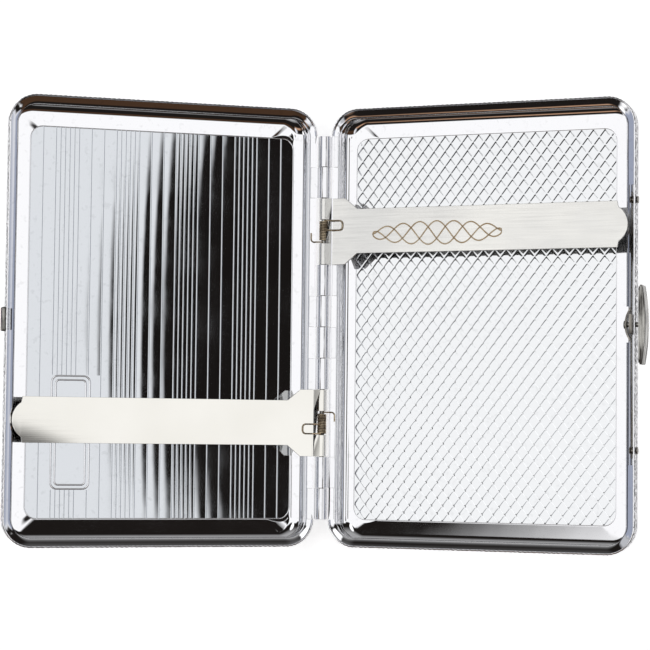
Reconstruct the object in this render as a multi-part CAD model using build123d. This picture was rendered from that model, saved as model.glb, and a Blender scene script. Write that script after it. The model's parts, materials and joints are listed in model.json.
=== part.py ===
from build123d import *
import os
from math import acos, atan2, cos, hypot, pi, radians, sin, tan

# A hinged metal pocket case for cards: two drawn sheet halves on one long pin, a sprung
# retaining arm in each half, and a push-button latch on the outer wall.
# Millimetres and degrees. +Y lies along the hinge. The case stands open on its two
# hinge-side back edges, with both trays facing up.
#
# Every piece is drawn as it lies in a half that is flat: +X runs from the hinge axis to
# the outer wall, and Z is 0 in the parting plane, where the two rims meet. The back half
# is tilted up from there. The front half is the same thing turned half round about Z.

# The two halves
case_length = 110.0       # along the hinge
half_width = 77.8         # hinge-side wall to outer wall
half_depth = 8.5          # parting plane to back
sheet = 0.5
corner_radius = 7.0       # corners seen from above
back_radius = 4.0         # round between the walls and the back
wall_draft = 3.0          # walls lean in towards the back
rim_gap = 0.05            # each rim stops short of the parting plane
rest_tilt = 19.0          # each half above level, with the hinge at its stop

# The frame soldered inside each rim
frame_drop = 1.0          # its ledge, below the parting plane
frame_sheet = 0.4
frame_width = 2.45        # outer face of the wall to the frame's inner edge
frame_hinge_width = 1.7   # the same along the hinge
lip_depth = 2.4           # bottom of the lip that is turned down, below the parting plane
lip_sheet = 0.4

# The hinge
hinge_gap = 1.8           # axis to hinge-side wall
knuckle_radius = 1.6
knuckle_length = 7.75
knuckle_play = 0.1        # between neighbours on the pin
pin_radius = 0.6
pin_clearance = 0.05
leaf_reach = 3.4          # axis to the edge of the leaf that lies on the ledge
leaf_sheet = 0.5
seam_width = 0.15         # where a knuckle's roll closes
seam_angle = 35.0         # from the top of the knuckle towards its own half

# The retaining arms
arm_sheet = 0.5
arm_gap = 0.1             # arm to ledge
arm_slope = 40.0          # the sheet comes down from the pin at this slope
arm_bend = 0.8            # middle radius of the bend at the foot of the slope
hub_width = 16.7
hub_reach = 5.5           # axis to the end of the full width
neck_reach = 8.8          # axis to where the arm has narrowed
arm_width = 11.2
shoulder_gap = 4.5        # shoulders to the outer face of the wall
shoulder_step = 0.3
tongue_width = 8.3
tongue_gap = 1.95         # tip to the outer face of the wall
slot_width = 6.0          # gap in the roll that takes the spring
slot_reach = 2.1

# The arms' torsion springs
wire = 0.4
leg_wire = 0.36           # the legs are drawn a little down from the coil
coil_clearance = 0.2      # coil to pin
coil_play = 0.1           # coil to the ends of its gap
hairpin_width = 2.4
hairpin_reach = 4.9
tail_reach = 3.1
tail_hook = 2.3
wire_bend = 0.8           # middle radius of the bends in the legs

# The latch
latch_travel = 0.4
latch_depth = 2.3         # rivet's axis, below the parting plane
latch_spring_length = 64.0
latch_spring_height = 2.2
latch_spring_sheet = 0.25
latch_spring_gap = 1.2    # its outer face to the outer face of the wall
channel_play = 1.5        # each end of the latch spring to the end of its channel
rivet_radius = 0.6
rivet_head_radius = 1.0
rivet_head = 0.35
rivet_play = 0.2          # round the rivet in the wall, and round the claw
stake_radius = 0.45       # rivets at the ends of the latch spring
stake_head_radius = 0.85
stake_head = 0.25
stake_inset = 2.0         # from each end of the latch spring
bridge_length = 8.2
bridge_rise = 1.4
bridge_sheet = 0.4
claw_width = 4.8
claw_sheet = 0.3
claw_rise = 1.5           # top of the claw, above the parting plane
hook_height = 0.4
hook_bite = 0.25          # how far the hook enters the front half's wall
keeper_play = 0.3         # window in the front wall, round the hook
button_length = 19.1
button_height = 4.4
button_drop = 1.0         # its top, below the parting plane
button_gap = 0.45         # it stands off the wall by a little more than its travel
button_end = 0.95         # thickness at its ends
button_crown = 1.8        # thickness in the middle
button_round = 0.35
button_plate_sheet = 0.4
button_plate_inset = 0.3
catch_width = 5.9
catch_height = 2.1
catch_drop = 0.3
catch_proud = 1.0
catch_round = 0.45

# Places worked out from those sizes
outer = hinge_gap + half_width
middle = hinge_gap + half_width / 2
bore_radius = pin_radius + pin_clearance
knuckle_pitch = knuckle_length + knuckle_play
hub_pitch = hub_width + knuckle_play
hinge_span = 8 * knuckle_pitch + 2 * hub_pitch - knuckle_play
hub_middle = 2 * knuckle_pitch + hub_pitch / 2
arm_top = -frame_drop + arm_gap + arm_sheet
coil_inner = pin_radius + coil_clearance
coil_middle = coil_inner + wire / 2
leg_lie = (leg_wire + arm_gap / 2) / 2   # a leg's axis above what it lies on
slot_low = hub_middle - slot_width / 2
slot_high = hub_middle + slot_width / 2
tail_middle = slot_low + coil_play + wire / 2
frame_inner = outer - frame_width
spring_outer = outer - latch_spring_gap
spring_inner = spring_outer - latch_spring_sheet
button_inner = outer + button_gap


def wall_lean(depth):
    """How far the drafted wall has leaned in at this depth."""
    return tan(radians(wall_draft)) * max(depth - rim_gap, 0)


def block(x, y, z):
    """A box given by its low and high values on each axis."""
    centre = ((x[0] + x[1]) / 2, (y[0] + y[1]) / 2, (z[0] + z[1]) / 2)
    return Pos(*centre) * Box(x[1] - x[0], y[1] - y[0], z[1] - z[0])


def across(width):
    """Low and high values of something centred on 0."""
    return (-width / 2, width / 2)


def rod(radius, x, y):
    """A cylinder along X at the latch's depth."""
    turned = Rot(0, 90, 0) * Cylinder(radius, x[1] - x[0])
    return Pos((x[0] + x[1]) / 2, y, -latch_depth) * turned


def drum(radius, y):
    """A cylinder round the hinge axis."""
    turned = Rot(90, 0, 0) * Cylinder(radius, y[1] - y[0])
    return Pos(0, (y[0] + y[1]) / 2, 0) * turned


# The two covers

def tray(inset):
    """A half's solid shape, drawn in from its outer face by inset all round."""
    plan = RectangleRounded(
        half_width - 2 * inset, case_length - 2 * inset, corner_radius - inset
    )
    height = half_depth - inset - rim_gap
    body = extrude(
        Pos(middle, 0, -rim_gap) * plan, amount=height, dir=(0, 0, -1), taper=wall_draft
    )
    back = body.faces().sort_by(Axis.Z)[0]
    return fillet(back.edges(), back_radius - inset)


def make_cover():
    """A drawn half, cut down along the hinge for the leaves and the arms."""
    hinge_cut = block(
        (0, hinge_gap + back_radius),
        across(hinge_span + 2 * knuckle_play),
        (-frame_drop, frame_drop),
    )
    return tray(0) - tray(sheet) - hinge_cut


def stake_places():
    """Where the two stakes stand along the latch spring."""
    reach = latch_spring_length / 2 - stake_inset
    return (-reach, reach)


def make_back_cover():
    """The back half, with the latch rivet's hole and the two stakes' holes."""
    half = make_cover()
    half -= rod(rivet_radius + rivet_play, (frame_inner, outer + 1), 0)
    for place in stake_places():
        half -= rod(stake_radius, (frame_inner, outer + 1), place)
    return half


def make_front_cover():
    """The front half, with the window in its outer wall that the hook enters."""
    low = -claw_rise - keeper_play
    high = -claw_rise + hook_height + keeper_play
    width = claw_width + 2 * rivet_play
    return make_cover() - block((frame_inner, outer + 1), across(width), (low, high))


# The frames

def frame_plan(outside, inside, hinge_inside):
    """A flat ring. The sizes are insets from the outer face of the walls."""
    around = RectangleRounded(
        half_width - 2 * outside, case_length - 2 * outside, corner_radius - outside
    )
    low = hinge_gap + hinge_inside
    high = outer - inside
    hole = RectangleRounded(high - low, case_length - 2 * inside, corner_radius - inside)
    return Pos(middle, 0) * around - Pos((low + high) / 2, 0) * hole


def make_frame():
    """A flat ledge inside the rim, with a lip turned down along its inner edge."""
    against_wall = sheet + wall_lean(frame_drop + frame_sheet)
    ledge_plan = frame_plan(against_wall, frame_width, frame_hinge_width)
    ledge = extrude(Pos(0, 0, -frame_drop - frame_sheet) * ledge_plan, amount=frame_sheet)
    wide = frame_width - lip_sheet
    along_hinge = frame_hinge_width - lip_sheet
    low = hinge_gap + along_hinge
    high = outer - wide
    around = RectangleRounded(high - low, case_length - 2 * wide, corner_radius - wide)
    lip_plan = Pos((low + high) / 2, 0) * around
    lip_plan &= frame_plan(against_wall, frame_width, frame_hinge_width)
    lip = extrude(Pos(0, 0, -lip_depth) * lip_plan, amount=lip_depth - frame_drop)
    return ledge + lip


def make_back_frame():
    """The frame with a channel for the latch spring and a gap for its bridge."""
    length = latch_spring_length + 2 * channel_play
    height = (-half_depth, 0)
    channel = block((frame_inner + lip_sheet, outer), across(length), height)
    gap = block((frame_inner - 1, outer), across(bridge_length + 2 * rivet_play), height)
    return make_frame() - channel - gap


def make_front_frame():
    """The frame with a slot beside the wall that the claw comes up through."""
    low = spring_outer - latch_travel - rivet_play
    width = claw_width + 2 * rivet_play
    return make_frame() - block((low, outer), across(width), (-half_depth, 0))


# The hinge

def make_hinge_leaves():
    """A half's four knuckles. Those of the other half fill the places between."""
    edge = hinge_span / 2
    starts = (
        edge - knuckle_length,
        knuckle_pitch + knuckle_play / 2,
        -knuckle_pitch + knuckle_play / 2,
        -edge + knuckle_pitch,
    )
    leaves = Part()
    for start in starts:
        length = (start, start + knuckle_length)
        leaf = block((0, leaf_reach), length, (-frame_drop, -frame_drop + leaf_sheet))
        seam = block(across(seam_width), length, (knuckle_radius - seam_width, 2 * knuckle_radius))
        knuckle = drum(knuckle_radius, length) + leaf
        leaves += knuckle - drum(bore_radius, length) - Rot(0, seam_angle, 0) * seam
    return leaves


def make_hinge_pin():
    """One pin through all eight knuckles and both arms."""
    return drum(pin_radius, across(hinge_span))


# The retaining arms and their springs

def arm_outline():
    """The arm seen from above: a wide hub, a strap and a rounded tongue."""
    hub = hub_width / 2
    strap = arm_width / 2
    tongue = tongue_width / 2
    behind = -bore_radius - arm_sheet
    shoulder = outer - shoulder_gap
    corners = [
        (behind, hub),
        (hub_reach, hub),
        (neck_reach, strap),
        (shoulder, strap),
        (shoulder + shoulder_step, tongue),
    ]
    upper = Polyline(*corners)
    lower = Polyline(*[(x, -y) for x, y in corners])
    back = Line(upper @ 0, lower @ 0)
    tip = ThreePointArc(upper @ 1, (outer - tongue_gap, 0), lower @ 1)
    return make_face(upper + tip + lower + back)


def arm_section():
    """The arm seen along the pin: rolled over it, down a slope, then flat."""
    radius = bore_radius + arm_sheet / 2
    slope = radians(arm_slope)
    flat = arm_top - arm_sheet / 2
    leave = (radius * sin(slope), radius * cos(slope))
    foot = (leave[0] + (leave[1] - flat) / tan(slope), flat)
    line = FilletPolyline(leave, foot, (outer, flat), radius=arm_bend)
    return trace(line, arm_sheet) + Circle(bore_radius + arm_sheet) - Circle(bore_radius)


def make_arm():
    """The sheet, cut to the outline, with a gap in its roll for the spring."""
    bent = extrude(Plane.XZ * arm_section(), amount=hub_width / 2, both=True)
    outline = extrude(Pos(0, 0, -frame_drop) * arm_outline(), amount=3 * frame_drop)
    gap = block((-slot_reach, slot_reach), across(slot_width), across(4 * frame_drop))
    return Pos(0, hub_middle, 0) * (bent & outline) - Pos(0, hub_middle, 0) * gap


def leave_coil(x, z):
    """Where a straight leg that ends at x, z leaves the coil, over its top."""
    angle = atan2(z, x) + acos(coil_middle / hypot(x, z))
    return coil_middle * cos(angle), coil_middle * sin(angle)


def bend_wire(points):
    """A wire through these points, with a round bend at each corner."""
    path = FilletPolyline(*points, radius=wire_bend)
    start = Plane(origin=path @ 0, z_dir=path % 0)
    return sweep(start * Circle(leg_wire / 2), path=path)


def make_arm_spring():
    """The coil round the pin, with the hairpin that presses on the arm."""
    coil_low = tail_middle + wire / 2 + coil_play
    coil_high = slot_high - coil_play
    coil = drum(coil_inner + wire, (coil_low, coil_high)) - drum(coil_inner, (coil_low, coil_high))
    z = arm_top + leg_lie
    x0, z0 = leave_coil(hairpin_reach, z)
    far = coil_high - wire / 2
    near = far - hairpin_width
    points = [(x0, far, z0), (hairpin_reach, far, z), (hairpin_reach, near, z), (x0, near, z0)]
    return coil + bend_wire(points)


def make_spring_tail():
    """The other half's spring ends here: its tail hooks onto this half's ledge."""
    z = -frame_drop + leg_lie
    x0, z0 = leave_coil(tail_reach, z)
    points = [
        (x0, -tail_middle, z0),
        (tail_reach, -tail_middle, z),
        (tail_reach, -tail_middle - tail_hook, z),
    ]
    return bend_wire(points)


# The latch

def make_latch_spring():
    """A flat strip on edge in the channel, staked to the wall at both ends."""
    height = (-latch_depth - latch_spring_height / 2, -latch_depth + latch_spring_height / 2)
    strip = block((spring_inner, spring_outer), across(latch_spring_length), height)
    strip -= rod(rivet_radius + pin_clearance, (frame_inner, outer), 0)
    for place in stake_places():
        strip -= rod(stake_radius, (frame_inner, outer), place)
    return strip


def make_stakes(wall):
    """A rivet at each end of the latch spring, with a shoulder that spaces it off."""
    stakes = Part()
    for place in stake_places():
        stake = rod(stake_radius, (spring_inner, outer), place)
        stake += rod(stake_head_radius, (spring_inner - stake_head, spring_inner), place)
        stake += rod(stake_head_radius, (spring_outer, outer + stake_head), place)
        stakes += stake - wall
    return stakes


def make_bridge():
    """A bowed strip on the spring's inner face, which takes the rivet's head."""
    end = bridge_length / 2
    crown = spring_inner - bridge_rise
    outside = ThreePointArc((spring_inner, -end), (crown, 0), (spring_inner, end))
    foot = end - 1.5 * bridge_sheet
    inside = ThreePointArc((spring_inner, -foot), (crown + bridge_sheet, 0), (spring_inner, foot))
    feet = Line(outside @ 0, inside @ 0) + Line(outside @ 1, inside @ 1)
    plan = make_face(outside + inside + feet)
    low = -latch_depth - latch_spring_height / 2
    bow = extrude(Pos(0, 0, low) * plan, amount=latch_spring_height)
    return bow - rod(rivet_radius, (crown - 1, spring_inner), 0)


def make_claw():
    """A plate on the spring's outer face that rises past the rim and hooks outwards."""
    bottom = -latch_depth - latch_spring_height / 2
    plate_outer = spring_outer + claw_sheet
    tip = outer - sheet - wall_lean(claw_rise - hook_height) + hook_bite
    plate = block((spring_outer, plate_outer), across(claw_width), (bottom, claw_rise))
    hook = block((spring_outer, tip), across(claw_width), (claw_rise - hook_height, claw_rise))
    nose = hook.edges().filter_by(Axis.Y).group_by(Axis.Z)[-1].sort_by(Axis.X)[-1]
    hook = chamfer(nose, hook_height * 0.6)
    return plate + hook - rod(rivet_radius, (spring_inner, outer), 0)


def make_latch_rivet():
    """The rivet that joins bridge, spring, claw and button through the wall."""
    crown = spring_inner - bridge_rise
    head = rod(rivet_head_radius, (crown - rivet_head, crown), 0)
    rim = head.edges().filter_by(GeomType.CIRCLE).sort_by(Axis.X)[0]
    head = fillet(rim, rivet_head * 0.7)
    shank = rod(rivet_radius, (crown - rivet_head / 2, button_inner + button_plate_sheet), 0)
    return (head + shank) - make_bridge()


def button_middle():
    """Height of the button's middle."""
    return -button_drop - button_height / 2


def make_button_plate():
    """The flat plate behind the button, riveted to the latch."""
    plan = RectangleRounded(
        button_length - 2 * button_plate_inset,
        button_height - 2 * button_plate_inset,
        button_height / 4,
    )
    face = Plane(origin=(button_inner, 0, button_middle()), x_dir=(0, 1, 0), z_dir=(1, 0, 0))
    plate = extrude(face * plan, amount=button_plate_sheet)
    return plate - rod(rivet_radius, (outer, button_inner + 1), 0)


def make_button():
    """The thumb button: a bar bowed along its length, with rounded edges."""
    back = button_inner + button_plate_sheet
    end = button_length / 2
    side = button_inner + button_end
    bow = ThreePointArc((side, -end), (button_inner + button_crown, 0), (side, end))
    rest = Polyline((side, end), (back, end), (back, -end), (side, -end))
    bar = extrude(Pos(0, 0, -button_drop - button_height) * make_face(bow + rest), amount=button_height)
    sharp = bar.edges().filter_by(lambda edge: edge.center().X > back + button_round / 2)
    return fillet(sharp, button_round)


def make_catch():
    """The boss on the front wall that covers the hook's window from outside."""
    height = (-catch_drop - catch_height, -catch_drop)
    boss = block((outer - sheet, outer + catch_proud), across(catch_width), height)
    proud = boss.edges().filter_by(lambda edge: edge.center().X > outer)
    return fillet(proud, catch_round) - tray(0)


# Standing the halves up

def back_half(piece):
    """Place a piece of the back half, which is at +X."""
    return Rot(0, -rest_tilt, 0) * piece


def front_half(piece):
    """Place a piece of the front half, which is at -X."""
    return Rot(0, 0, 180) * back_half(piece)


back_cover = make_back_cover()
pieces = {
    "back_cover": back_half(back_cover),
    "back_frame": back_half(make_back_frame()),
    "back_hinge_leaves": back_half(make_hinge_leaves()),
    "hinge_pin": make_hinge_pin(),
    "lower_spring_tail": back_half(make_spring_tail()),
    "latch_spring": back_half(make_latch_spring()),
    "latch_spring_stakes": back_half(make_stakes(back_cover)),
    "front_cover": front_half(make_front_cover()),
    "front_frame": front_half(make_front_frame()),
    "front_hinge_leaves": front_half(make_hinge_leaves()),
    "upper_spring_tail": front_half(make_spring_tail()),
    "catch_boss": front_half(make_catch()),
    "upper_arm": back_half(make_arm()),
    "upper_arm_spring": back_half(make_arm_spring()),
    "lower_arm": front_half(make_arm()),
    "lower_arm_spring": front_half(make_arm_spring()),
    "latch_bridge": back_half(make_bridge()),
    "latch_claw": back_half(make_claw()),
    "latch_rivet": back_half(make_latch_rivet()),
    "button_plate": back_half(make_button_plate()),
    "thumb_button": back_half(make_button()),
}

# The origin is under the middle of the whole case, on the surface that it stands on.
solids = [solid for piece in pieces.values() for solid in piece.solids()]
around = Compound(solids).bounding_box()
to_origin = Pos(-around.center().X, -around.center().Y, -around.min.Z)

os.makedirs("parts", exist_ok=True)
for name, piece in pieces.items():
    export_step(to_origin * piece, f"parts/{name}.step")
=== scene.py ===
import bpy
import bmesh
import json
from math import atan2, cos, pi, radians, sin, tan
from mathutils import Matrix, Vector


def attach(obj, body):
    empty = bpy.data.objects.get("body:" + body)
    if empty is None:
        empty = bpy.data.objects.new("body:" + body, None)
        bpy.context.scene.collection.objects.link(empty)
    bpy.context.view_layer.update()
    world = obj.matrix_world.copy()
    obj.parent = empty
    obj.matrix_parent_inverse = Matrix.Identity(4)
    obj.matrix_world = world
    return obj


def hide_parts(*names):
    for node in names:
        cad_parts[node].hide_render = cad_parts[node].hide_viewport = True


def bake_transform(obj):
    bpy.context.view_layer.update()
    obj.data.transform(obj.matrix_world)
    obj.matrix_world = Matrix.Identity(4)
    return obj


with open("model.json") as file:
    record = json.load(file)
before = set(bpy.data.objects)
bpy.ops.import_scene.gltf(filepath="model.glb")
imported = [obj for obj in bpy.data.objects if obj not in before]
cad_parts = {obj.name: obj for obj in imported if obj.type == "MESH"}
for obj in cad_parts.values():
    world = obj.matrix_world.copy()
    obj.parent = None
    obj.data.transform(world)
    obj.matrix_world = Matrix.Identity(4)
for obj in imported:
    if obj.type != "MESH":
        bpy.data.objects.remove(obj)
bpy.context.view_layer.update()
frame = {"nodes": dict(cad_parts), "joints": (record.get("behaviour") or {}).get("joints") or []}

scene = bpy.context.scene
lid_joint = next(joint for joint in frame["joints"] if joint["name"] == "lid_hinge")
hinge_axis = Vector(lid_joint["pos_m"])

from_hinge = Vector((0.02026, -0.02719, 0.520))
lean_degrees = {"X": 3.053, "Y": 2.167, "Z": 0.498}

camera = bpy.data.objects.new("camera", bpy.data.cameras.new("camera"))
camera.data.lens = 114.76
camera.data.clip_start = 0.01
aim = Matrix()
for axis, degrees in lean_degrees.items():
    aim = aim @ Matrix.Rotation(radians(degrees), 4, axis)
camera.matrix_world = Matrix.Translation(hinge_axis + from_hinge) @ aim
scene.collection.objects.link(camera)
scene.camera = camera
scene.view_settings.view_transform = "Standard"
scene.view_settings.look = "None"


# ---------------------------------------------------------------------------------------
# Finishes: every surface is plated, drawn or rolled metal. A finish is a Principled surface
# with nodes for what polish, wear and handling leave on it. Sums on sockets read as sums.
# ---------------------------------------------------------------------------------------
class Sum:
    """A number that changes over a surface, and joins in sums as a plain number does."""

    def __init__(self, finish, socket):
        self.finish = finish
        self.socket = socket

    def maths(self, operation, first, second=0.0):
        """The outcome of one Math node."""
        settings = {"operation": operation}
        return self.finish.node("ShaderNodeMath", settings, {0: first, 1: second})

    def __add__(self, other):
        return self.maths("ADD", self, other)

    def __radd__(self, other):
        return self.maths("ADD", other, self)

    def __sub__(self, other):
        return self.maths("SUBTRACT", self, other)

    def __rsub__(self, other):
        return self.maths("SUBTRACT", other, self)

    def __mul__(self, other):
        return self.maths("MULTIPLY", self, other)

    def __rmul__(self, other):
        return self.maths("MULTIPLY", other, self)

    def __pow__(self, other):
        return self.maths("POWER", self, other)


class Finish:
    """One metal finish: its material, and the nodes that feed its Principled surface."""

    def __init__(self, name, colour, metallic=1.0, roughness=0.05):
        self.material = bpy.data.materials.new(name)
        self.material.use_nodes = True
        self.tree = self.material.node_tree
        self.surface = self.tree.nodes["Principled BSDF"]
        self.surface.inputs["Base Color"].default_value = (*colour, 1)
        self.surface.inputs["Metallic"].default_value = metallic
        self.surface.inputs["Roughness"].default_value = roughness

    def plug(self, socket, value):
        """Give a socket a value, or a link from what is worked out by other nodes."""
        if isinstance(value, Sum):
            self.tree.links.new(value.socket, socket)
        else:
            socket.default_value = value

    def node(self, kind, settings, values, output=0):
        """Add a node: its settings first, then the values or links of its sockets."""
        made = self.tree.nodes.new(kind)
        for name, value in settings.items():
            setattr(made, name, value)
        for name, value in values.items():
            self.plug(made.inputs[name], value)
        return Sum(self, made.outputs[output])

    def place(self, scale=(1, 1, 1), turn=(0, 0, 0), move=(0, 0, 0)):
        """Where a point is on the whole case, scaled, turned and moved for a pattern."""
        coords = self.node("ShaderNodeTexCoord", {}, {}, "Object")
        values = {"Vector": coords, "Location": move, "Rotation": turn, "Scale": scale}
        return self.node("ShaderNodeMapping", {}, values)

    def axes(self, where):
        """The three parts of a place or a direction, each on its own."""
        split = self.node("ShaderNodeSeparateXYZ", {}, {"Vector": where})
        return [Sum(self, split.socket.node.outputs[name]) for name in "XYZ"]

    def noise(self, scale, detail=2.0, where=None):
        """Smooth random patches, about 1/scale metres across."""
        where = where or self.place()
        return self.node(
            "ShaderNodeTexNoise", {}, {"Vector": where, "Scale": scale, "Detail": detail}, 0
        )

    def blend_colours(self, amount, first, second):
        """Two colours mixed by an amount from 0 to 1."""
        settings = {"data_type": "RGBA"}
        values = {0: amount, 6: (*first, 1), 7: (*second, 1)}
        return self.node("ShaderNodeMix", settings, values, 2)

    def dents(self, height):
        """Bend the light as if the surface rose by a height in metres."""
        values = {"Height": height, "Distance": 1.0, "Strength": 1.0}
        bump = self.node("ShaderNodeBump", {}, values)
        self.plug(self.surface.inputs["Normal"], bump)

    def feed(self, name, value):
        """Feed one of the surface's own sockets."""
        self.plug(self.surface.inputs[name], value)


def ramp(finish, value, low, high, start=0.0, end=1.0):
    """A value stretched so that low gives start and high gives end, and no further."""
    values = {0: value, 1: low, 2: high, 3: start, 4: end}
    return finish.node("ShaderNodeMapRange", {"clamp": True}, values)


def paint(material, *nodes):
    """Give CAD nodes a finish."""
    for node in nodes:
        mesh = frame["nodes"][node].data
        mesh.materials.clear()
        mesh.materials.append(material)


# ---------------------------------------------------------------------------------------
# Covers: two halves drawn from sheet and chromium plated. Mirror bright, with the faint
# unevenness that drawing leaves and light smears from handling. Sizes are in millimetres.
# ---------------------------------------------------------------------------------------
rest_tilt = radians(19)
outer = 79.6        # hinge axis to the outer face of the outer wall
half_width = 77.8
middle = outer - half_width / 2
case_length = 110.0
corner_radius = 7.0
draft_angle = radians(3)
wall_draft = tan(draft_angle)
rim_gap = 0.05      # each rim stops short of the parting plane
tray_floor = -8.0
tray_back = -8.5


def chromium(name, colour, wave=0.00003, lean=0.0):
    """Bright plate with smears in its polish, on sheet that waves and leans a little."""
    finish = Finish(name, colour)
    smears = finish.noise(90, 4.0)
    finish.feed("Roughness", ramp(finish, smears, 0.35, 0.75, 0.02, 0.07))
    spots = ramp(finish, finish.noise(700, 2.0), 0.60, 0.72)
    dull = tuple(0.93 * part for part in colour)
    finish.feed("Base Color", finish.blend_colours(spots, colour, dull))
    waves = finish.noise(22, 0.0) + 0.12 * finish.noise(160, 1.0)
    x, _, _ = finish.axes(finish.place())
    finish.dents(waves * wave + x * lean)
    return finish


chrome = chromium("chromium_plate", (0.80, 0.80, 0.82))
paint(chrome.material, "back_cover", "front_cover")


def half_place(body):
    """From a half that lies flat, in mm from the hinge axis, to where it is on the case."""
    turn = Matrix.Rotation(pi if body == "front" else 0, 4, "Z")
    tilt = Matrix.Rotation(-rest_tilt, 4, "Y")
    return Matrix.Translation(hinge_axis) @ turn @ tilt @ Matrix.Scale(0.001, 4)


def set_down(name, bm, finish, body, half, nodes=(), corner=30):
    """Turn what was shaped flat into a piece that lies in its half and rides on a body."""
    bmesh.ops.recalc_face_normals(bm, faces=bm.faces)
    if half:
        bm.transform(half_place(half))
    mesh = bpy.data.meshes.new(name)
    bm.to_mesh(mesh)
    bm.free()
    mesh.materials.append(finish.material)
    mesh.shade_smooth()
    mesh.set_sharp_from_angle(angle=radians(corner))
    piece = bpy.data.objects.new(name, mesh)
    scene.collection.objects.link(piece)
    if body:
        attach(piece, body)
    if nodes:
        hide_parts(*nodes)
    return piece


def of_kind(made, kind):
    """The vertices, edges or faces in what an operator has made."""
    return [item for item in made if isinstance(item, kind)]


def fill_ends(bm):
    """Close every opening that is left."""
    bmesh.ops.holes_fill(bm, edges=[edge for edge in bm.edges if edge.is_boundary], sides=0)


# ---------------------------------------------------------------------------------------
# The drawn shells themselves: a rounded rim, walls that lean in by 3 degrees with a grimy
# coin-edge knurl down their straight part, and a wide round onto the flat back. Inside, a
# shoulder slants from the wall down to the panel.
# ---------------------------------------------------------------------------------------
knurl_pitch = 0.6
knurl_depth = 0.08
least_inner_round = 3.4
cover_plan = (middle, 0, half_width, case_length, corner_radius)


def plan_loop(bm, plan, steps, pitch=None):
    """A rectangle with round corners as one loop of edges in the parting plane."""
    x, y, width, length, radius = plan
    made = bmesh.ops.create_grid(bm, x_segments=1, y_segments=1, size=0.5)["verts"]
    bmesh.ops.scale(bm, vec=(width, length, 1), verts=made)
    bmesh.ops.translate(bm, vec=(x, y, 0), verts=made)
    bmesh.ops.bevel(
        bm, geom=made, offset=radius, offset_type="OFFSET", affect="VERTICES",
        segments=steps, profile=0.5, material=-1,
    )
    if pitch:
        for edge in list(bm.edges):
            cuts = 2 * round(edge.calc_length() / pitch / 2) - 1
            if cuts > 0:
                bmesh.ops.subdivide_edges(bm, edges=[edge], cuts=cuts)
    bmesh.ops.delete(bm, geom=list(bm.faces), context="FACES_ONLY")
    return list(bm.edges)


def shift_ring(verts, plan, place, hinge_place):
    """Move a loop to an inset and a depth, which may differ along the hinge."""
    centre = Vector((plan[0], plan[1], 0))
    core_x = plan[2] / 2 - plan[4]
    core_y = plan[3] / 2 - plan[4]
    least_radius = least_inner_round if plan is cover_plan else 0.0
    for vert in verts:
        at = vert.co - centre
        near = Vector((max(-core_x, min(core_x, at.x)), max(-core_y, min(core_y, at.y)), 0))
        away = Vector((at.x, at.y, 0)) - near
        away.normalize()
        share = max(0.0, -away.x)
        inset, depth = (a + (b - a) * share for a, b in zip(place, hinge_place))
        shrink = max(0.0, least_radius - (plan[4] - inset))
        near = Vector((near.x * (1 - shrink / core_x), near.y * (1 - shrink / core_y), 0))
        vert.co = centre + near + away * (plan[4] - inset + shrink)
        vert.co.z = depth


def in_order(verts, start):
    """The corners of a closed ring from a start, each next to the one before it."""
    at = start
    seen = [at]
    while len(seen) < len(verts):
        at = next(
            edge.other_vert(at)
            for edge in at.link_edges
            if edge.other_vert(at) in verts and edge.other_vert(at) not in seen[-2:-1]
        )
        seen.append(at)
    return seen


def sweep_round(
    bm, section, steps, hinge=None, closed=True, pitch=None, knurled=(), plan=cover_plan
):
    """Carry a section, given as insets and depths, round a plan. It may differ at the hinge."""
    hinge = hinge or section
    edges = plan_loop(bm, plan, steps, pitch)
    verts = {vert for edge in edges for vert in edge.verts}
    first = edges
    origins = {vert: vert.co.copy() for vert in verts}
    for number, (place, hinge_place) in enumerate(zip(section, hinge)):
        if number:
            before = {tuple(vert.co): vert for vert in verts}
            made = bmesh.ops.extrude_edge_only(bm, edges=edges)["geom"]
            verts = set(of_kind(made, bmesh.types.BMVert))
            edges = of_kind(made, bmesh.types.BMEdge)
            edges = [edge for edge in edges if set(edge.verts) <= verts]
            origins = {vert: origins[before[tuple(vert.co)]] for vert in verts}
        for vert in verts:
            vert.co = origins[vert]
        shift_ring(verts, plan, place, hinge_place)
        if number in knurled:
            start = min(verts, key=lambda vert: tuple(origins[vert]))
            grooves = in_order(verts, start)[::2]
            for vert in grooves:
                vert.co = origins[vert]
            cut = (place[0] + knurl_depth, place[1] - knurl_depth)
            shift_ring(grooves, plan, cut, cut)
    if closed:
        bmesh.ops.bridge_loops(bm, edges=first + edges)
    return first, edges


def wall_section(skin, radius, steps, slant=0.0, reach=0.0):
    """Insets and depths down a wall face that is skin inside the outer one, and its round.

    The round may end on a shoulder that slants down to the flat back at a reach from the wall.
    """
    centre_depth = tray_back + skin + radius
    for _ in range(4):
        lean_in = -wall_draft * (centre_depth + rim_gap)
        centre_inset = skin + lean_in + radius / cos(draft_angle)
        rise = max(0.0, reach - centre_inset) * tan(slant)
        centre_depth = tray_back + skin + rise + radius / cos(slant)
    points = []
    for step in range(steps + 1):
        angle = draft_angle + (pi / 2 - slant - draft_angle) * step / steps
        place = (centre_inset - radius * cos(angle), centre_depth - radius * sin(angle))
        points.append(place)
    return points


def cut_through(bm, point, normal, clear=False):
    """Cut everything along a plane, and clear what is past it if that is wanted."""
    everything = list(bm.verts) + list(bm.edges) + list(bm.faces)
    bmesh.ops.bisect_plane(
        bm, geom=everything, plane_co=point, plane_no=normal, clear_outer=clear
    )


def cut_across(bm, places):
    """Cut everything straight across at these places along the hinge."""
    for place in places:
        cut_through(bm, (0, place, 0), (0, 1, 0))


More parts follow.
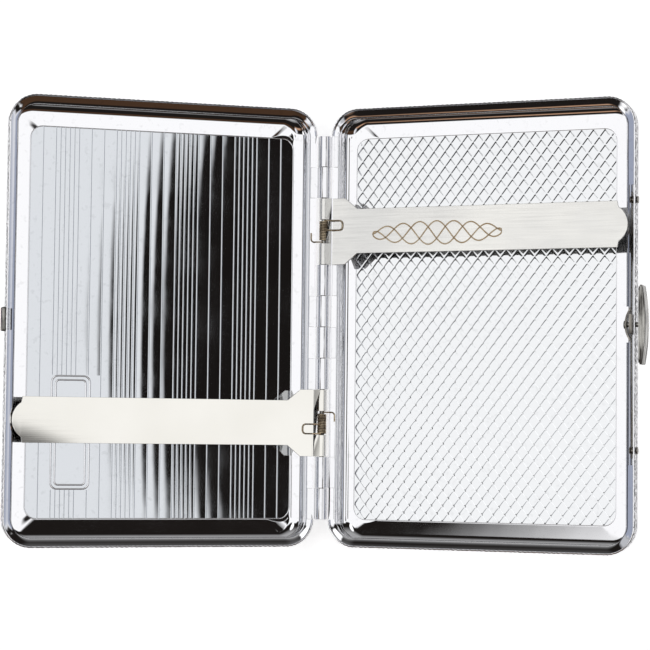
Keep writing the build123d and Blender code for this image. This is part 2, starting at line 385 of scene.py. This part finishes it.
sheet = 0.5
back_round = 4.0
inner_round = 3.0
wall_steps = 14
corner_steps = 22
floor_lap = 0.15
shoulder_slant = radians(9.5)
shoulder_reach = 6.6
shoulder_holds = (6.45, 3.45)
hinge_holds = (0.20, 0.15, 0.10, 0.05)
hinge_reach = 48.25
hinge_wall = 5.5
hinge_wall_top = -1.0
inside_lip = [(0.58, -1.5), (0.56, -1.02)]
rim_round = [
    (0.50, -0.30), (0.47, -0.18), (0.39, -0.09), (0.25, -0.055),
    (0.11, -0.09), (0.03, -0.18), (0.01, -0.32),
]
rim_teeth = 4
knurl_band = [(0.01, -0.45), (0.09, -1.80), (0.165, -3.20), (0.20, -3.90), (0.212, -4.10)]
grimy_depths = (-4.0, -0.12)
grimy_skin = 0.3

knurled_edge = Finish("knurled_edge", (0.40, 0.40, 0.41))
grime = ramp(knurled_edge, knurled_edge.noise(1300, 2.0), 0.46, 0.62)
grimy = knurled_edge.blend_colours(grime, (0.08, 0.08, 0.09), (0.66, 0.66, 0.68))
knurled_edge.feed("Base Color", grimy)
knurled_edge.feed("Roughness", ramp(knurled_edge, grime, 0.0, 1.0, 0.30, 0.06))


def on_knurl(place):
    """Whether a place is on the outer skin of the knurled band."""
    past_x = max(0.0, abs(place.x - middle) - half_width / 2 + corner_radius)
    past_y = max(0.0, abs(place.y) - case_length / 2 + corner_radius)
    outermost = past_x ** 2 + past_y ** 2 > (corner_radius - grimy_skin) ** 2
    return outermost and grimy_depths[0] < place.z < grimy_depths[1]


for half in ("back", "front"):
    bm = bmesh.new()
    round_in = wall_section(sheet, inner_round, wall_steps, shoulder_slant, shoulder_reach)[::-1]
    shoulder = [(shoulder_reach + floor_lap, tray_floor), (shoulder_reach, tray_floor)]
    for reach in shoulder_holds:
        shoulder.append((reach, tray_floor + (shoulder_reach - reach) * tan(shoulder_slant)))
    flat = wall_section(sheet, back_round - sheet, wall_steps)[::-1]
    flat = [(flat[0][0] + more, flat[0][1]) for more in hinge_holds] + flat
    outside = wall_section(0, back_round, wall_steps)
    outside.append((outside[-1][0] + floor_lap, outside[-1][1]))
    rest = inside_lip + rim_round + knurl_band + outside
    begin = len(flat) + len(inside_lip) + len(rim_round)
    teeth = range(begin - rim_teeth, begin + len(knurl_band) - 1)
    first, last = sweep_round(
        bm, shoulder + round_in + rest, corner_steps,
        hinge=flat + rest, closed=False, pitch=knurl_pitch, knurled=teeth,
    )
    bmesh.ops.edgeloop_fill(bm, edges=first)
    bmesh.ops.edgeloop_fill(bm, edges=last)
    cut_across(bm, (-hinge_reach, hinge_reach))
    cut_through(bm, (0, 0, hinge_wall_top), (0, 0, 1))
    gone = []
    for face in bm.faces:
        place = face.calc_center_median()
        by_hinge = place.x < hinge_wall and abs(place.y) < hinge_reach
        if by_hinge and place.z > hinge_wall_top:
            gone.append(face)
    bmesh.ops.delete(bm, geom=gone, context="FACES")
    fill_ends(bm)
    for face in bm.faces:
        if on_knurl(face.calc_center_median()):
            face.material_index = 1
    shell = set_down(f"{half}_shell", bm, chrome, half, half, [f"{half}_cover"], corner=35)
    shell.data.materials.append(knurled_edge.material)

# ---------------------------------------------------------------------------------------
# Frames: a strip rolled to a soft crown and soldered inside each rim, with its inner edge
# turned down. It stiffens the mouth and the arms close onto it.
# ---------------------------------------------------------------------------------------
frame_width = 2.45
frame_hinge_width = 1.7
channel_half = 33.5
channel_inset = 0.75
bridge_half = 4.3
bridge_inset = 0.3
catch_half = 2.6
catch_inset = 1.8
frame_section = [
    (0.50, -1.60),
    (0.50, -0.60),
    (0.75, -0.68),
    (0.95, -0.75),
    (1.35, -0.87),
    (1.75, -1.00),
    (2.05, -1.11),
    (2.25, -1.22),
    (2.38, -1.36),
    (2.44, -1.55),
    (2.45, -1.80),
    (2.45, -2.40),
    (2.05, -2.40),
    (2.05, -1.60),
]


def wall_up(bm):
    """Close the long side of each opening that runs along the hinge with one flat face."""
    sides = {}
    for edge in bm.edges:
        low, high = sorted(vert.co.y for vert in edge.verts)
        if edge.is_boundary and high - low > 3:
            sides.setdefault(round(low + high), []).append(edge)
    for pair in sides.values():
        if len(pair) == 2:
            bmesh.ops.contextual_create(bm, geom=pair)


for half in ("back", "front"):
    bm = bmesh.new()
    share = frame_hinge_width / frame_width
    hinge_section = [(inset * share, depth) for inset, depth in frame_section]
    sweep_round(bm, frame_section, 16, hinge=hinge_section)
    inner_edge = outer - frame_width
    if half == "back":
        cuts = ((inner_edge + channel_inset, channel_half), (inner_edge - bridge_inset, bridge_half))
    else:
        cuts = ((outer - catch_inset, catch_half),)
    cut_across(bm, sorted(side * reach for _, reach in cuts for side in (-1, 1)))
    gone = []
    for face in bm.faces:
        place = face.calc_center_median()
        if any(place.x > start and abs(place.y) < reach for start, reach in cuts):
            gone.append(face)
    bmesh.ops.delete(bm, geom=gone, context="FACES")
    wall_up(bm)
    fill_ends(bm)
    set_down(f"{half}_rim_frame", bm, chrome, half, half, [f"{half}_frame"], corner=40)

# ---------------------------------------------------------------------------------------
# Ribbed panel: the front half is engine-turned in straight ribs, in groups of six with
# pairs between, round a plain cartouche. The flats between the ribs are slightly crowned.
# ---------------------------------------------------------------------------------------
panel_low = 5.9
panel_high = 73.2
panel_end = 48.3
panel_round = 3.0
panel_rise = 0.06
wide_gap = 3.15
narrow_gap = 1.15
rib_width = 0.32
rib_rise = 0.045
flat_crown = 0.003      # rise of a flat, as a share of its width
sunk = 0.2              # how far a panel goes on below the tray's floor
bead_steps = 6
bead_sunk = 0.05
bead_set = 0.01
cartouche_low = 57.2
cartouche_high = 67.1
cartouche_ends = (13.0, 41.2)


def rib_places():
    """Where the ribs are, from the outer wall to the hinge."""
    pattern = [wide_gap, wide_gap] + [narrow_gap] * 5 + [wide_gap]
    place = panel_high
    places = []
    for gap in pattern * 4 + [wide_gap]:
        place -= gap
        places.append(place)
    return sorted(places)


def add_hump(bm, last, end, rise, steps):
    """Continue a section from its last point with one low arc, or a straight line."""
    if rise == 0:
        made = bmesh.ops.extrude_vert_indiv(bm, verts=[last])["verts"][0]
        made.co.x = end
        return made
    width = end - last.co.x
    radius = (width * width / 4 + rise * rise) / (2 * rise)
    centre = (last.co.x + width / 2, last.co.y, last.co.z + rise - radius)
    angle = 2 * atan2(width / 2, radius - rise)
    made = bmesh.ops.spin(
        bm, geom=[last], cent=centre, axis=(0, 1, 0), angle=angle, steps=steps, use_merge=False
    )["geom_last"]
    return of_kind(made, bmesh.types.BMVert)[0]


def ribbed_strip(bm, start, end, plain):
    """The panel's section from the hinge to the outer wall, drawn from start to end."""
    base = tray_floor + panel_rise
    first = bmesh.ops.create_vert(bm, co=(panel_low, start, base))["vert"][0]
    last = first
    before = set(bm.verts)
    for place in rib_places() + [panel_high + rib_width / 2]:
        low = place - rib_width / 2
        if plain and low > cartouche_low and last.co.x < cartouche_high:
            low = min(low, cartouche_high)
            if last.co.x < cartouche_low:
                last = add_hump(bm, last, cartouche_low, 0, 1)
            if place < cartouche_high:
                continue
            last = add_hump(bm, last, cartouche_high, 0, 1)
            low = place - rib_width / 2
        width = low - last.co.x
        if width > 0.01:
            last = add_hump(bm, last, low, width * flat_crown, 4)
        if place < panel_high - 0.1:
            last = add_hump(bm, last, place + rib_width / 2, rib_rise, 8)
    verts = [first] + [vert for vert in bm.verts if vert not in before]
    under = bmesh.ops.extrude_vert_indiv(bm, verts=[first, last])["verts"]
    for vert in under:
        vert.co.z = tray_floor - sunk
    bmesh.ops.contextual_create(bm, geom=under)
    verts += under
    edges = [edge for edge in bm.edges if set(edge.verts) <= set(verts) and not edge.link_faces]
    made = bmesh.ops.extrude_edge_only(bm, edges=edges)["geom"]
    moved = of_kind(made, bmesh.types.BMVert)
    bmesh.ops.translate(bm, vec=(0, end - start, 0), verts=moved)


def trim_corners(bm, low, high, end, radius, steps=5, solid=True):
    """Cut a flat thing to a rectangle with round corners, one tangent at a time."""
    for side_x in (-1, 1):
        for side_y in (-1, 1):
            corner_x = (low + radius) if side_x < 0 else (high - radius)
            corner_y = side_y * (end - radius)
            for step in range(steps + 2):
                angle = pi / 2 * step / (steps + 1)
                normal = Vector((side_x * cos(angle), side_y * sin(angle), 0))
                point = Vector((corner_x, corner_y, 0)) + normal * radius
                cut_through(bm, point, normal, clear=True)
                if solid:
                    fill_ends(bm)


def join(bm, own):
    """Add one mesh that is being built to another, and free it."""
    scrap = bpy.data.meshes.new("scrap")
    own.to_mesh(scrap)
    own.free()
    bm.from_mesh(scrap)
    bpy.data.meshes.remove(scrap)


def bead_line(bm, low, high, ends, radius, width, rise, steps=8):
    """A low half-round line round a rectangle with round corners, on the panel."""
    base = tray_floor + panel_rise
    plan = ((low + high) / 2, sum(ends) / 2, high - low, ends[1] - ends[0], radius)
    section = [(0.0, base - bead_sunk)]
    for step in range(bead_steps + 1):
        share = step / bead_steps
        section.append((width * share, base + rise * (1 - (2 * share - 1) ** 2) - bead_set))
    section.append((width, base - bead_sunk))
    own = bmesh.new()
    sweep_round(own, section, steps, plan=plan)
    join(bm, own)


def border(bm):
    """The fine line pressed all round a panel, just outside it."""
    gap = 0.1
    ends = (-panel_end - gap, panel_end + gap)
    bead_line(bm, panel_low - gap, panel_high + gap, ends, panel_round + gap, 0.30, 0.05)


def both_faces(name, bm, half, finish, corner):
    """A panel on the inside of a half, and the same one pressed on its outer face."""
    outside = bm.copy()
    outside.transform(
        Matrix.Translation((0, 0, tray_floor + tray_back)) @ Matrix.Diagonal((1, 1, -1, 1))
    )
    for side, shape in ((name, bm), (f"{name}_outside", outside)):
        set_down(side, shape, finish, half, half, corner=corner)


ribbed_plate = chromium("ribbed_plate", (0.60, 0.62, 0.65))
bm = bmesh.new()
for start, end, plain in (
    (-panel_end, cartouche_ends[0], False),
    (cartouche_ends[0], cartouche_ends[1], True),
    (cartouche_ends[1], panel_end, False),
):
    part_bm = bmesh.new()
    ribbed_strip(part_bm, start, end, plain)
    fill_ends(part_bm)
    join(bm, part_bm)
trim_corners(bm, panel_low, panel_high, panel_end, panel_round)
both_faces("ribbed_panel", bm, "front", ribbed_plate, 22)

bm = bmesh.new()
for inset, radius in ((0.0, 1.8), (1.0, 1.1)):
    ends = (cartouche_ends[0] + inset, cartouche_ends[1] - inset)
    bead_line(bm, cartouche_low + inset, cartouche_high - inset, ends, radius, 0.45, 0.10)
border(bm)
both_faces("ribbed_panel_lines", bm, "front", chrome, 60)

# ---------------------------------------------------------------------------------------
# Diamond panel: the back half is engine-turned in diamonds, 2.9 mm by 3.9 mm, which are
# pressed from the sheet as low pillows with a fine groove between them. Each pillow's
# section is a list of places across a diamond and the share of its rise there.
# ---------------------------------------------------------------------------------------
diamonds_across = 23
diamonds_along = 25
diamond_width = (panel_high - panel_low) / diamonds_across
diamond_length = 2 * panel_end / diamonds_along
pillow = [(0.0, 0.0), (0.035, 0.85), (0.2, 1.0), (0.8, 1.0), (0.965, 0.85)]
pillow_rise = 0.034
diamond_plate = chromium("diamond_plate", (0.745, 0.755, 0.77))


def diamond_sheet(bm, base):
    """A sheet of diamonds, a little larger than the panel."""
    steps = len(pillow)
    reach = diamonds_along * steps
    made = bmesh.ops.create_grid(
        bm, x_segments=2 * reach, y_segments=2 * reach, size=reach
    )["verts"]
    for vert in made:
        cells = []
        height = pillow_rise
        for value in vert.co.xy:
            cell, step = divmod(round(value), steps)
            cells.append(cell + pillow[step][0])
            height *= pillow[step][1]
        across = (cells[0] - cells[1]) * diamond_width / 2
        along = (cells[0] + cells[1]) * diamond_length / 2
        vert.co = ((panel_low + panel_high) / 2 + across, along, base + height)
    far = [
        vert
        for vert in made
        if abs(vert.co.y) > panel_end + 4 or abs(vert.co.x - middle) > half_width / 2
    ]
    bmesh.ops.delete(bm, geom=far, context="VERTS")


bm = bmesh.new()
diamond_sheet(bm, tray_floor + panel_rise)
trim_corners(bm, panel_low, panel_high, panel_end, panel_round, solid=False)
edges = [edge for edge in bm.edges if edge.is_boundary]
made = bmesh.ops.extrude_edge_only(bm, edges=edges)["geom"]
for vert in of_kind(made, bmesh.types.BMVert):
    vert.co.z = tray_floor - sunk
fill_ends(bm)
both_faces("diamond_panel", bm, "back", diamond_plate, 18)

bm = bmesh.new()
border(bm)
both_faces("diamond_panel_line", bm, "back", chrome, 60)

# ---------------------------------------------------------------------------------------
# Hinge, arms and latch: stamped, rolled and turned pieces whose edges are broken by
# tumbling before they are plated.
# ---------------------------------------------------------------------------------------
hinge_plate = chromium("hinge_plate", (0.78, 0.78, 0.80), lean=0.07)


def satin(name, colour, darker, low, high, lean, brush):
    """Plate that was brushed along the arm before plating, and has been handled since."""
    finish = Finish(name, colour)
    brushed = finish.noise(1.0, 3.0, finish.place((90, 3200, 90)))
    finish.feed("Roughness", ramp(finish, brushed, 0.3, 0.7, low, high))
    handled = ramp(finish, finish.noise(38, 3.0), 0.40, 0.66)
    finish.feed("Base Color", finish.blend_colours(handled, colour, darker))
    x, _, _ = finish.axes(finish.place())
    finish.dents(brushed * brush + x * lean)
    return finish


def worn(name, colour, darker, patches, low, high):
    """Turned or stamped metal with its polish worn to dark patches."""
    finish = Finish(name, colour, roughness=0.3)
    wear = finish.noise(1.0, 5.0, finish.place(patches))
    finish.feed("Base Color", finish.blend_colours(ramp(finish, wear, low, high), colour, darker))
    finish.feed("Roughness", ramp(finish, wear, 0.3, 0.7, 0.16, 0.45))
    finish.dents(finish.noise(2600, 3.0) * 0.00001)
    return finish


upper_plate = satin(
    "upper_arm_plate", (0.76, 0.75, 0.72), (0.66, 0.655, 0.64), 0.16, 0.26, 0.0, 0.000002
)
lower_plate = satin(
    "lower_arm_plate", (0.77, 0.755, 0.715), (0.73, 0.715, 0.67), 0.03, 0.05, 0.09, 0.0000002
)
button_plate = worn(
    "worn_button", (0.42, 0.41, 0.385), (0.06, 0.055, 0.05), (900, 130, 900), 0.42, 0.60
)
latch_plate = worn(
    "latch_steel", (0.34, 0.32, 0.29), (0.05, 0.045, 0.04), (700, 300, 700), 0.4, 0.7
)
spring_steel = worn(
    "spring_steel", (0.62, 0.57, 0.45), (0.30, 0.26, 0.20), (500, 60, 500), 0.4, 0.7
)


def soften(name, node, body, finish, width, corner=35, steps=2):
    """A copy of a CAD node with its sharp edges slightly rounded, as a piece in its place."""
    bm = bmesh.new()
    bm.from_mesh(frame["nodes"][node].data)
    bmesh.ops.remove_doubles(bm, verts=bm.verts, dist=1e-6)
    bmesh.ops.dissolve_limit(
        bm, angle_limit=radians(0.5), verts=bm.verts, edges=bm.edges, use_dissolve_boundaries=False
    )
    shared = [edge for edge in bm.edges if edge.is_manifold]
    sharp = [edge for edge in shared if edge.calc_face_angle() > radians(corner)]
    bmesh.ops.bevel(
        bm, geom=sharp, offset=width / 1000, offset_type="OFFSET", affect="EDGES",
        segments=steps, profile=0.5, material=-1, clamp_overlap=True,
    )
    mesh = bpy.data.meshes.new(name)
    bmesh.ops.triangulate(bm, faces=[face for face in bm.faces if len(face.verts) > 4])
    bm.to_mesh(mesh)
    bm.free()
    mesh.materials.append(finish.material)
    mesh.shade_smooth()
    piece = bpy.data.objects.new(name, mesh)
    scene.collection.objects.link(piece)
    even = piece.modifiers.new("even_shading", "WEIGHTED_NORMAL")
    even.keep_sharp = True
    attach(piece, body)
    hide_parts(node)
    return piece


soften("upper_arm_strap", "upper_arm", "upper_retainer", upper_plate, 0.07)
soften("lower_arm_strap", "lower_arm", "lower_retainer", lower_plate, 0.07)
for half in ("back", "front"):
    soften(f"{half}_knuckles", f"{half}_hinge_leaves", half, hinge_plate, 0.06)
soften("button_dome", "thumb_button", "latch", button_plate, 0.10)
soften("button_foot", "button_plate", "latch", button_plate, 0.05)
soften("crescent_bridge", "latch_bridge", "latch", latch_plate, 0.04)
soften("latch_hook", "latch_claw", "latch", latch_plate, 0.04)
soften("bridge_rivet", "latch_rivet", "latch", button_plate, 0.04)
soften("front_catch", "catch_boss", "front", button_plate, 0.06)
soften("spring_stakes", "latch_spring_stakes", "back", latch_plate, 0.03)
paint(button_plate.material, "hinge_pin")

# ---------------------------------------------------------------------------------------
# Latch spring: a straight leaf of spring steel staked to the wall at both ends. It is bowed
# inwards a little, and the latch pushes its middle. It is built as two halves that meet there.
# ---------------------------------------------------------------------------------------
leaf_end = 31.9
leaf_bow = 0.12
leaf_outer = outer - 1.2
leaf_depth = (-3.4, -1.2)
leaf_sheet = 0.28
leaf_inset = 0.125

for name, side in (("low", -1), ("high", 1)):
    bm = bmesh.new()
    made = bmesh.ops.create_grid(bm, x_segments=24, y_segments=2, size=0.5)["verts"]
    for vert in made:
        along = (vert.co.x + 0.5) * leaf_end
        bow = leaf_bow * (1 + cos(pi * along / leaf_end)) / 2
        deep = leaf_depth[0] + (vert.co.y + 0.5) * (leaf_depth[1] - leaf_depth[0])
        vert.co = (leaf_outer - leaf_inset - bow, side * along, deep)
    bmesh.ops.solidify(bm, geom=list(bm.faces), thickness=leaf_sheet)
    leaf = set_down(f"latch_leaf_{name}", bm, spring_steel, None, "back", ["latch_spring"])
    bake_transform(leaf)

# ---------------------------------------------------------------------------------------
# Ornament: a plain braid of three strands, cut along the upper arm and filled in tan. It
# stands for the flourish that such arms carry, and is not lettering.
# ---------------------------------------------------------------------------------------
tan_line = Finish("tan_engraving", (0.50, 0.38, 0.24), metallic=0.6, roughness=0.4)
faded = ramp(tan_line, tan_line.noise(420, 3.0), 0.35, 0.7)
tan_line.feed("Base Color", tan_line.blend_colours(faded, (0.44, 0.32, 0.19), (0.60, 0.50, 0.36)))
tan_line.dents(tan_line.noise(3000, 2.0) * 0.000006)
braid_low = 13.0
braid_high = 46.5
braid_across = 23.2
braid_height = 2.9
braid_waves = 2.5
line_width = 0.36
line_steps = 220
line_lift = 0.012
arm_top = -0.4


def engraved(bm, steps, line, width):
    """A thin flat line on the arm along points given by a share of its length."""
    made = bmesh.ops.create_grid(bm, x_segments=steps, y_segments=1, size=0.5)["verts"]
    for vert in made:
        share = vert.co.x + 0.5
        point, after = Vector(line(share)), Vector(line(share + 0.001))
        ahead = (after - point).normalized()
        aside = Vector((-ahead.y, ahead.x)) * width * vert.co.y
        vert.co = (point.x + aside.x, point.y + aside.y, arm_top + line_lift)


def wave(share, strand):
    """One of the braid's three strands, which run together at both ends."""
    swing = sin(2 * pi * (share * braid_waves + strand / 3)) * max(0.0, sin(pi * share)) ** 0.4
    return (braid_low + (braid_high - braid_low) * share, braid_across + swing * braid_height)


bm = bmesh.new()
for strand in range(3):
    engraved(bm, line_steps, lambda share, strand=strand: wave(share, strand), line_width)
braid = set_down("upper_arm_braid", bm, tan_line, "upper_retainer", "back")

# ---------------------------------------------------------------------------------------
# Arm springs: torsion springs coiled from 0.4 mm wire round the pin, with a hairpin that
# presses on the arm and a tail that hooks onto the other half.
# ---------------------------------------------------------------------------------------
bronze = worn("spring_wire", (0.46, 0.38, 0.27), (0.16, 0.12, 0.08), (600, 600, 600), 0.45, 0.7)
wire_radius = 0.2
coil_radius = 1.0
coil_low = 21.7
coil_high = 27.0
coil_turns = 12
turn_steps = 20
wire_sides = 10
hairpin_width = 2.4
hairpin_reach = 4.9
paint(bronze.material, "upper_spring_tail", "lower_spring_tail")


def wire_end(bm, place):
    """The round end that a wire is drawn from."""
    ring = bmesh.ops.create_circle(
        bm, cap_ends=False, segments=wire_sides, radius=wire_radius, matrix=place
    )["verts"]
    return list({edge for vert in ring for edge in vert.link_edges})


def add_wire(bm, points, bend=0.85, steps=6):
    """A round wire through these points, with a round bend at each corner."""
    points = [Vector(point) for point in points]
    ahead = (points[1] - points[0]).normalized()
    turn = ahead.to_track_quat("Z", "Y").to_matrix().to_4x4()
    edges = wire_end(bm, Matrix.Translation(points[0]) @ turn)
    at = points[0]
    for corner, after in zip(points[1:], points[2:] + [None]):
        if after is None:
            reach = corner
        else:
            new = (after - corner).normalized()
            angle = ahead.angle(new)
            reach = corner - ahead * bend * tan(angle / 2)
        made = bmesh.ops.extrude_edge_only(bm, edges=edges)["geom"]
        verts = set(of_kind(made, bmesh.types.BMVert))
        edges = of_kind(made, bmesh.types.BMEdge)
        edges = [edge for edge in edges if set(edge.verts) <= verts]
        bmesh.ops.translate(bm, vec=reach - at, verts=list(verts))
        if after is None:
            break
        axis = ahead.cross(new).normalized()
        centre = reach + axis.cross(ahead) * bend
        made = bmesh.ops.spin(
            bm, geom=edges, cent=centre, axis=axis, angle=angle, steps=steps, use_merge=False
        )["geom_last"]
        edges = of_kind(made, bmesh.types.BMEdge)
        at = corner + new * bend * tan(angle / 2)
        ahead = new
    fill_ends(bm)


for name, half, body in (
    ("upper_arm_spring", "back", "upper_retainer"),
    ("lower_arm_spring", "front", "lower_retainer"),
):
    bm = bmesh.new()
    edges = wire_end(bm, Matrix.Translation((coil_radius, coil_low + wire_radius, 0)))
    steps = coil_turns * turn_steps
    rise = (coil_high - coil_low - 2 * wire_radius) / steps
    bmesh.ops.spin(
        bm, geom=edges, cent=(0, 0, 0), axis=(0, -1, 0), dvec=(0, rise, 0),
        angle=2 * pi * coil_turns, steps=steps, use_merge=False,
    )
    fill_ends(bm)
    on_arm = arm_top + wire_radius + 0.02
    far = coil_high - wire_radius
    near = far - hairpin_width
    leg = ((0.45, 0.95), (2.6, 0.05), (hairpin_reach, on_arm))
    add_wire(bm, [(x, far, z) for x, z in leg] + [(x, near, z) for x, z in leg[::-1]])
    set_down(f"{name}_coil", bm, bronze, body, half, [name])

# ---------------------------------------------------------------------------------------
# Setting: a plain white floor in a soft white room. Past the two ends of the hinge the room
# is dark, with a little brown and copper, and a dark strip and patches stand above the long
# sides, which gives the plate its contrast. Low down, past those sides, it turns grey-blue.
# ---------------------------------------------------------------------------------------
class Room(Finish):
    """The light that comes from all round, worked out from its direction."""

    def __init__(self, name):
        self.world = bpy.data.worlds.new(name)
        self.world.use_nodes = True
        self.tree = self.world.node_tree
        self.surface = self.tree.nodes["Background"]
        coords = self.node("ShaderNodeTexCoord", {}, {}, "Generated")
        self.x, self.y, self.z = self.axes(coords)

    def patch(self, centre, reach, soft, stretch=(1, 1, 0)):
        """1 inside a round patch of the room round a direction, 0 outside it."""
        parts = zip((self.x, self.y, self.z), centre, stretch)
        away = sum(((part - place) * (part - place) * size for part, place, size in parts), 0.0)
        return ramp(self, away ** 0.5, reach - soft, reach + soft, 1.0, 0.0)

    def lay_over(self, under, amount, colour):
        """A colour laid over what is under it, by an amount from 0 to 1."""
        values = {0: amount, 6: under, 7: colour}
        return self.node("ShaderNodeMix", {"data_type": "RGBA"}, values, 2)


room = Room("soft_room")
sideways = room.x.maths("ABSOLUTE", room.x)
sill = 0.20 + ramp(room, room.x, -0.66, -0.50, 0.0, 0.10)
sill = sill - ramp(room, room.x, -0.2, 0.2, 0.0, 0.10)
sill = sill + ramp(room, room.x, 0.54, 0.60, 0.0, 0.08)
low_end = ramp(room, room.y, -0.27, -0.21, 1.0, 0.0)
high_end = ramp(room, room.y - sill, -0.025, 0.025)
low_glow = ramp(room, room.y, -0.97, -0.86, 0.40, 0.0)
high_glow = ramp(room, room.y, 0.5, 0.8, 0.0, 0.35)
dark_side = ramp(room, sideways, 0.79, 0.81)
dark_side = dark_side * ramp(room, sideways, 0.855, 0.875, 1.0, 0.0)
lamp_side = room.patch((0.565, 0.055, 0.0), 0.060, 0.005, (1.0, 0.27, 0.0))
under_arm = room.patch((0.290, -0.0585, 0.0), 0.060, 0.004, (1.0, 1.0, 0.0))
open_side = (1.0 - low_end) * (1.0 - high_end) * (1.0 - lamp_side) * (1.0 - dark_side)
open_side = open_side * ramp(room, sideways, 0.955, 0.970, 1.0, 0.06)
light = open_side * (1.0 - 0.86 * under_arm) + high_glow * high_end + low_glow
edge = ramp(room, sideways, 0.86, 0.90)
white = room.blend_colours(edge, (1.0, 1.0, 1.0), (0.33, 0.36, 0.45))
shade = room.lay_over((0.012, 0.010, 0.009, 1), light, white)
left_half = ramp(room, room.x, -0.05, 0.05)
brown = ramp(room, room.y, -0.52, -0.46) * ramp(room, room.y, -0.30, -0.24, 1.0, 0.0)
brown = brown * left_half
copper = ramp(room, room.y, -0.64, -0.58) * ramp(room, room.y, -0.52, -0.46, 1.0, 0.0)
copper = copper * (1.0 - left_half) * ramp(room, room.x, -0.62, -0.50, 0.25, 1.0)
soft_grey = room.patch((-0.05, -0.39, 0.0), 0.15, 0.03)
soft_grey = soft_grey + room.patch((-0.89, 0.33, 0.0), 0.13, 0.03)
lighter = ramp(room, room.x, -0.09, -0.03)
grey = room.blend_colours(lighter, (0.50, 0.51, 0.53), (0.88, 0.88, 0.90))
bright = room.patch((-0.07, 0.45, 0.0), 0.20, 0.03)
bright = bright + room.patch((-0.89, -0.33, 0.0), 0.13, 0.03)
for amount, colour in (
    (brown, (0.06, 0.032, 0.018, 1)),
    (copper, (0.50, 0.30, 0.19, 1)),
    (soft_grey, grey),
    (bright, (1.3, 1.3, 1.3, 1)),
):
    shade = room.lay_over(shade, amount, colour)
seen = room.node("ShaderNodeLightPath", {}, {}, "Is Camera Ray")
room.feed("Color", room.lay_over(shade, seen, (1, 1, 1, 1)))
room.feed("Strength", 1.2)
scene.world = room.world

floor_paint = Finish("white_floor", (0.9, 0.9, 0.9), metallic=0, roughness=0.9)
floor_paint.surface.inputs["Emission Color"].default_value = (1, 1, 1, 1)
floor_paint.surface.inputs["Emission Strength"].default_value = 0.62
mesh = bpy.data.meshes.new("studio_floor")
bm = bmesh.new()
bmesh.ops.create_grid(bm, x_segments=1, y_segments=1, size=1.5)
bm.to_mesh(mesh)
bm.free()
mesh.materials.append(floor_paint.material)
floor = bpy.data.objects.new("studio_floor", mesh)
scene.collection.objects.link(floor)
